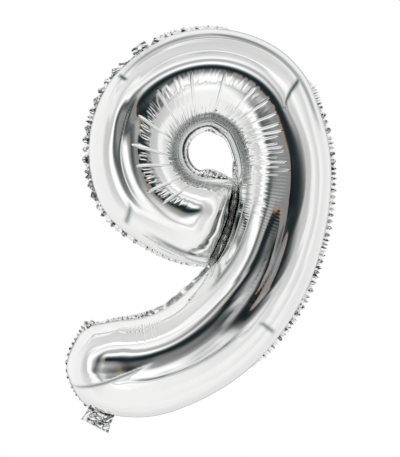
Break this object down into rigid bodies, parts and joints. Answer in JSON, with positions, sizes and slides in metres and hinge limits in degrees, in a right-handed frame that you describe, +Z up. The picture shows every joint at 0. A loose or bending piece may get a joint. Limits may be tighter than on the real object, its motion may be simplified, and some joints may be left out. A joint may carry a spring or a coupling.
{
  "type": "foil number balloon",
  "caption": "Inflated silver foil balloon in the shape of the digit nine, with welded flange, filling neck, self-sealing valve and hang tab.",
  "frame": {"origin": "bottom centre of the whole object's box, on the mid plane of the welds", "axes": "+Z up the digit, +X to the reader's right, front faces -Y; the welds lie in the plane y = 0"},
  "size_m": [0.2398, 0.0728, 0.3597],
  "materials": {
    "silver_foil": "mirror-bright metallised film with fine pressure wrinkles",
    "welded_foil": "bright metallised film, heat-sealed flat and puckered",
    "valve_plastic": "thin translucent film"
  },
  "bodies": {
    "balloon": {"front_foil_panel": "silver_foil", "back_foil_panel": "silver_foil", "outer_weld_flange": "welded_foil", "hole_weld_flange": "welded_foil", "divider_weld": "welded_foil"},
    "neck": {"neck_front_layer": "silver_foil", "neck_back_layer": "silver_foil"},
    "tab": {"hang_tab": "welded_foil"},
    "valve_front": {"valve_front_film": "valve_plastic"},
    "valve_back": {"valve_back_film": "valve_plastic"}
  },
  "joints": [
    {"name": "neck_fold", "type": "hinge", "parent": "balloon", "child": "neck", "pos_m": [-0.08494, 0, 0.0212], "axis": [0.9368, 0, -0.3499], "range_deg": [-80, 80]},
    {"name": "tab_fold", "type": "hinge", "parent": "balloon", "child": "tab", "pos_m": [-0.05061, 0, 0.33648], "axis": [0.8241, 0, 0.5664], "range_deg": [-80, 80]},
    {"name": "valve_front_open", "type": "hinge", "parent": "balloon", "child": "valve_front", "pos_m": [-0.08424, 0, 0.02307], "axis": [0.9368, 0, -0.3499], "range_deg": [0, 7]},
    {"name": "valve_back_open", "type": "hinge", "parent": "balloon", "child": "valve_back", "pos_m": [-0.08424, 0, 0.02307], "axis": [0.9368, 0, -0.3499], "range_deg": [-7, 0]}
  ],
  "couplings": [
    {"joint": "valve_back_open", "follows": "valve_front_open", "ratio": -1}
  ]
}
